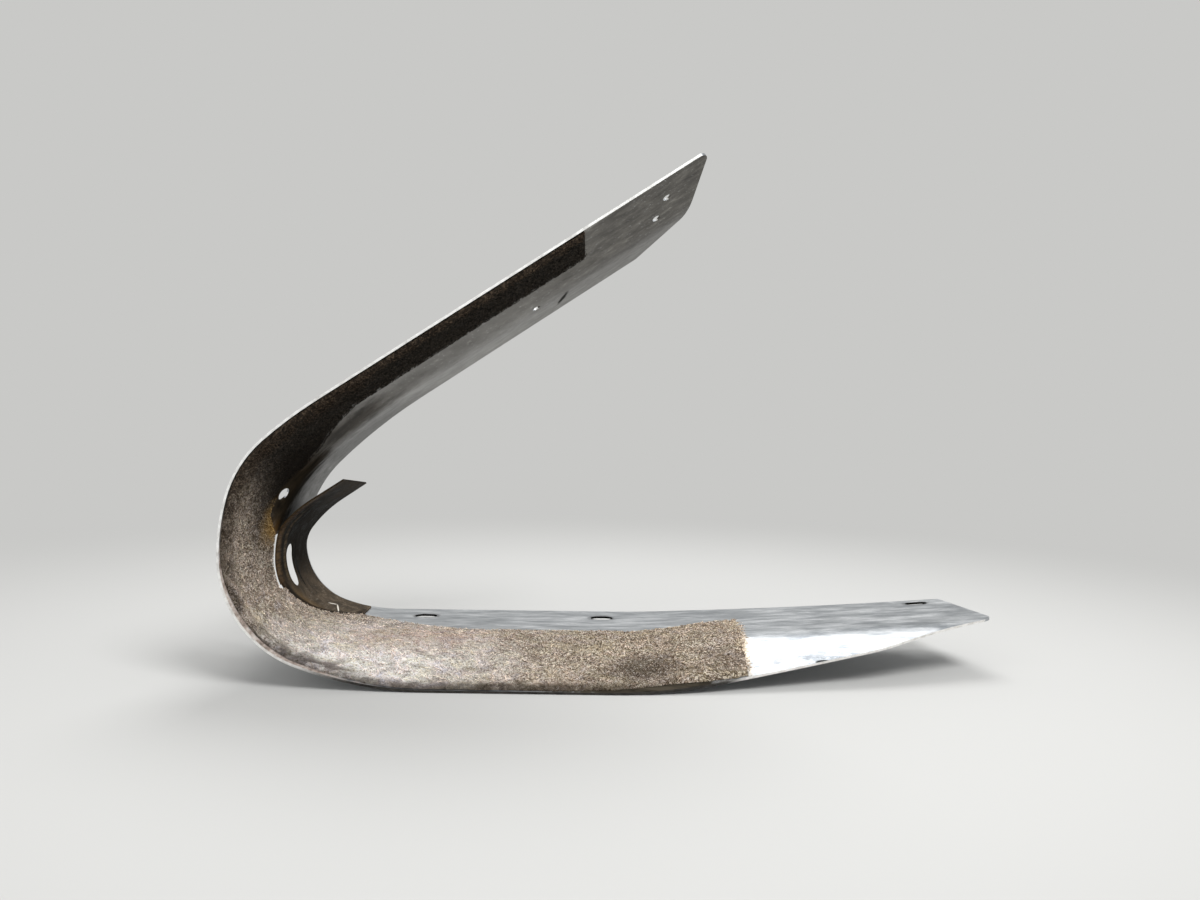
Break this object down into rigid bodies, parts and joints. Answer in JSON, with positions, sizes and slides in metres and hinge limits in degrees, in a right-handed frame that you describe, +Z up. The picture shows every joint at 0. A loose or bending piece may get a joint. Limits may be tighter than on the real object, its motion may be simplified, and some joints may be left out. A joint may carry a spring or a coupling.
{
  "type": "fillet fairing",
  "caption": "Formed aluminium fairing wrapped to a V, with a flared edge, a felt chafe strip bonded inside it and a sprung nose doubler",
  "frame": {"origin": "Middle of the slot row in the flat lower arm, halfway through the sheet.", "axes": "+X along the chord, away from the nose. +Y along the span, away from the flared edge. +Z up, square to the flat lower arm and towards the upper arm."},
  "size_m": [0.2855, 0.08, 0.1905],
  "materials": {
    "skin_metal": "bare sheet, dulled and smeared",
    "doubler_metal": "olive-brown primer, stained",
    "felt": "matted felt, soiled"
  },
  "bodies": {
    "root": {"fairing_skin": "skin_metal", "nose_doubler": "doubler_metal", "felt_chafe_strip": "felt"}
  },
  "joints": []
}
